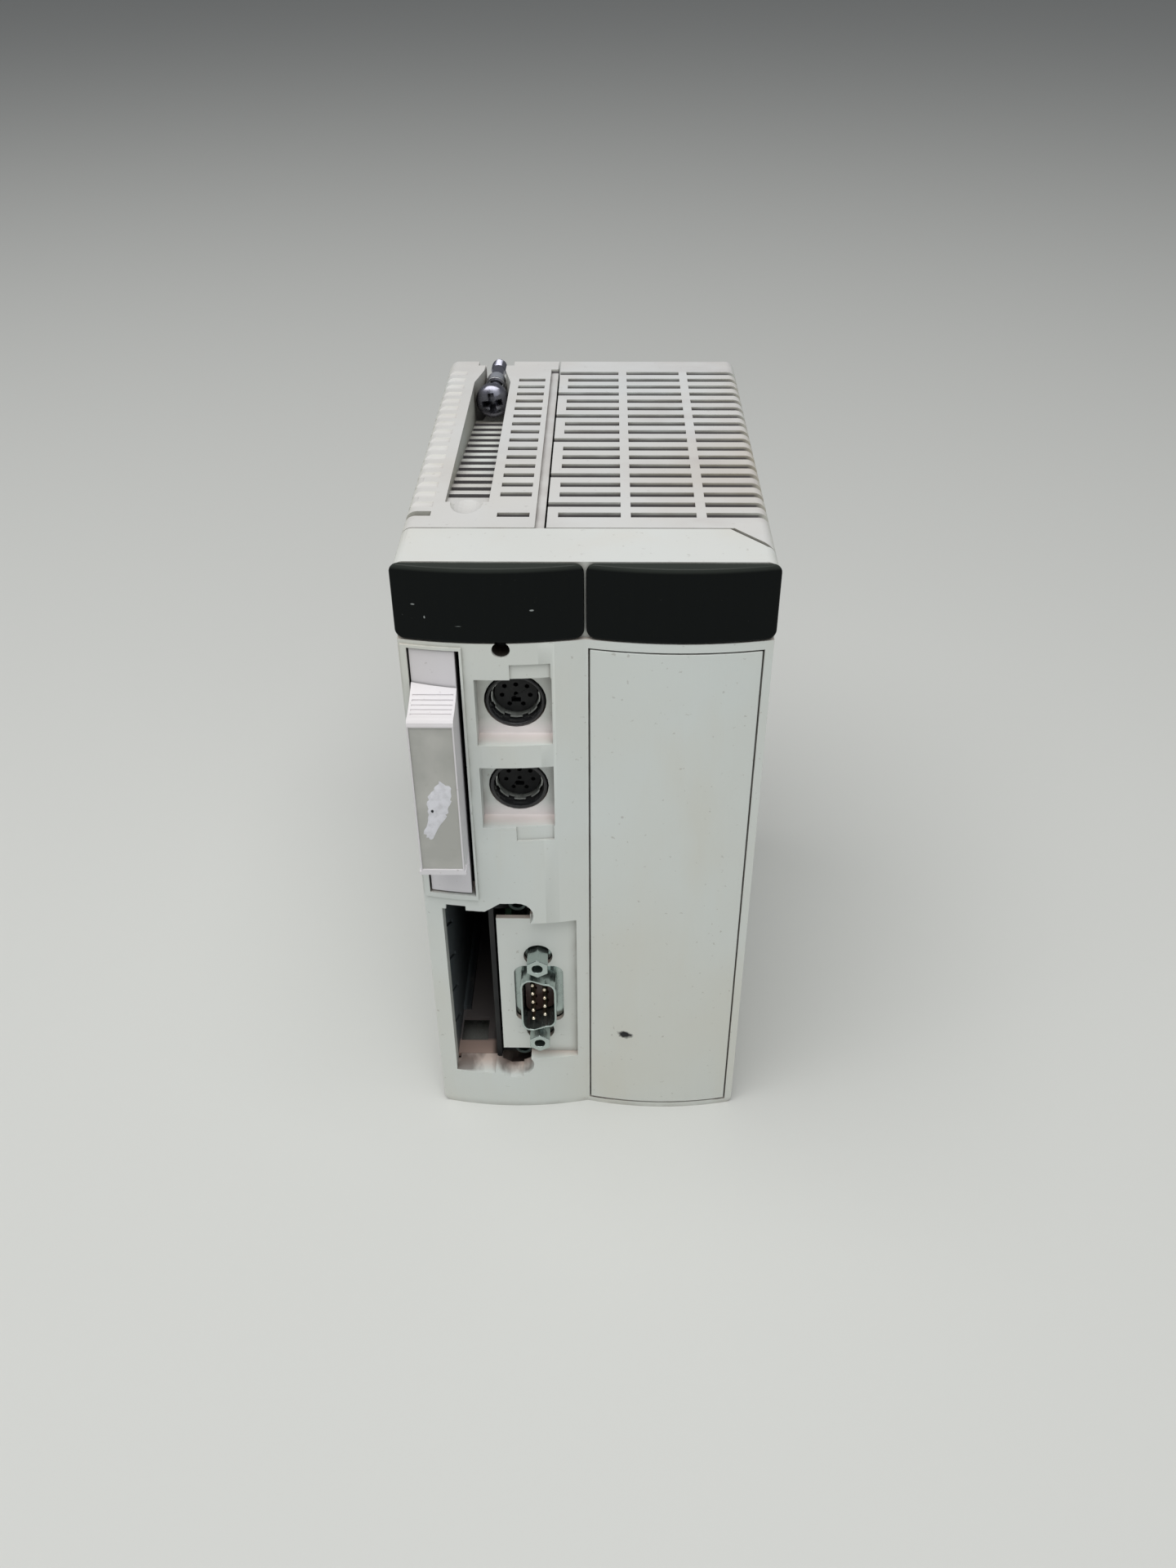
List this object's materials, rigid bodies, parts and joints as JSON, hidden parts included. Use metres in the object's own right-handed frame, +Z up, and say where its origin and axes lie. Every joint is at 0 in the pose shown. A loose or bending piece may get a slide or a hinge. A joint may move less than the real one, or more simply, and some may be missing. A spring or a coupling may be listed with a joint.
{
  "type": "rack processor module",
  "caption": "Double-width rack processor module with a pull-out memory card, round programming sockets, a nine-pin plug, a card bay, black windows and a captive rack screw.",
  "frame": {"origin": "bottom centre of the bounding box, on the surface that the module stands on", "axes": "+X to the module's right seen from the front, +Y from the front to the rack behind it, +Z up"},
  "size_m": [0.0736, 0.134, 0.1516],
  "materials": {
    "case_plastic": "finely textured moulding, light warm grey, slightly yellowed",
    "window_plastic": "polished smoke-black window",
    "black_plastic": "moulded black",
    "dark_plastic": "moulded dark grey",
    "zinc_steel": "zinc or tin plated, slightly dull",
    "gold_contact": "gold-flashed contacts",
    "board_laminate": "glass-fibre board with green resist",
    "card_metal": "satin",
    "label_paper": "printed film, torn",
    "lamp_plastic": "tinted light guide"
  },
  "bodies": {
    "module": {"front_bezel": "case_plastic", "left_case": "case_plastic", "right_case": "case_plastic", "blank_panel": "case_plastic", "left_lens": "window_plastic", "right_lens": "window_plastic", "upper_port_body": "black_plastic", "upper_port_insert": "black_plastic", "lower_port_body": "black_plastic", "lower_port_insert": "black_plastic", "plug_insulator": "black_plastic", "card_cage_header": "black_plastic", "memory_card_header": "black_plastic", "memory_card_guide": "black_plastic", "reset_switch": "black_plastic", "processor_chip": "black_plastic", "memory_chip_1": "black_plastic", "memory_chip_2": "black_plastic", "board_link": "black_plastic", "card_cage": "dark_plastic", "bus_plug_lower": "dark_plastic", "bus_plug_upper": "dark_plastic", "screw_collar": "dark_plastic", "display_block": "dark_plastic", "capacitor_1": "dark_plastic", "capacitor_2": "dark_plastic", "upper_port_shield": "zinc_steel", "lower_port_shield": "zinc_steel", "plug_shell": "zinc_steel", "jack_nut_upper": "zinc_steel", "jack_nut_lower": "zinc_steel", "card_nut_upper": "zinc_steel", "card_nut_lower": "zinc_steel", "case_screw_1": "zinc_steel", "case_screw_2": "zinc_steel", "case_screw_3": "zinc_steel", "case_screw_4": "zinc_steel", "ground_clip": "zinc_steel", "plug_pins": "gold_contact", "main_board": "board_laminate", "card_board": "board_laminate", "heat_sink": "card_metal", "lamp_strip": "lamp_plastic"},
    "card_unit": {"memory_card": "card_metal", "card_cover": "case_plastic", "card_handle": "case_plastic", "card_label": "label_paper"},
    "reset_key": {"reset_button": "black_plastic"},
    "screw_ring": {"screw_ring": "zinc_steel"},
    "rack_screw": {"rack_screw": "zinc_steel"}
  },
  "joints": [
    {"name": "card_slide", "type": "slide", "parent": "module", "child": "card_unit", "axis": [0, -1, 0], "range_m": [0, 0.1]},
    {"name": "reset_push", "type": "slide", "parent": "module", "child": "reset_key", "axis": [0, 1, 0], "range_m": [0, 0.001], "stiffness_N_per_m": 400, "springref_m": -0.001},
    {"name": "screw_shift", "type": "slide", "parent": "module", "child": "screw_ring", "axis": [0, -1, 0], "range_m": [0, 0.006]},
    {"name": "screw_turn", "type": "hinge", "parent": "screw_ring", "child": "rack_screw", "pos_m": [-0.02445, 0.04, 0.1475], "axis": [0, -1, 0], "continuous": true}
  ]
}
